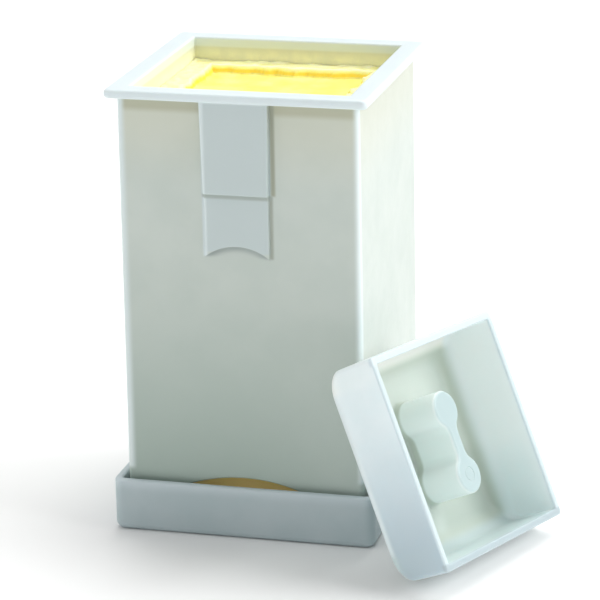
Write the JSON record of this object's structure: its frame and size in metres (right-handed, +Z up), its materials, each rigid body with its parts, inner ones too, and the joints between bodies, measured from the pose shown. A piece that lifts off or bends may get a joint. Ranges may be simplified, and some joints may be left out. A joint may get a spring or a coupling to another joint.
{
  "type": "butter spreader",
  "caption": "Square sleeve of butter with a cob-curved lower end, standing in a shallow tray, with its loose dog-bone grip pusher leaning on it.",
  "frame": {"origin": "middle of the tray's underside, on the surface that the spreader stands on", "axes": "+Z up along the sleeve, -Y the front with the raised strip, +X the side where the pusher leans"},
  "size_m": [0.0837, 0.0725, 0.0863],
  "materials": {
    "sleeve": "white translucent moulded polypropylene, satin gloss",
    "base_tray": "white translucent moulded polypropylene, satin gloss",
    "pusher": "white translucent moulded polypropylene, glossy",
    "butter": "soft yellow butter, slightly waxy and pressed on top"
  },
  "bodies": {
    "tray": {"base_tray": "base_tray"},
    "sleeve": {"sleeve": "sleeve"},
    "butter": {"butter_block": "butter"},
    "pusher": {"pusher": "pusher"}
  },
  "joints": [
    {"name": "sleeve_lift", "type": "slide", "parent": "tray", "child": "sleeve", "axis": [0, 0, 1], "range_m": [0, 0.09]},
    {"name": "butter_slide", "type": "slide", "parent": "tray", "child": "butter", "axis": [0, 0, 1], "range_m": [0, 0.08]},
    {"name": "pusher_tip", "type": "hinge", "parent": "tray", "child": "pusher", "pos_m": [0.04696, -0.01095, 0.00606], "axis": [0.3173, 0.9483, 0], "range_deg": [0, 23.5]}
  ]
}
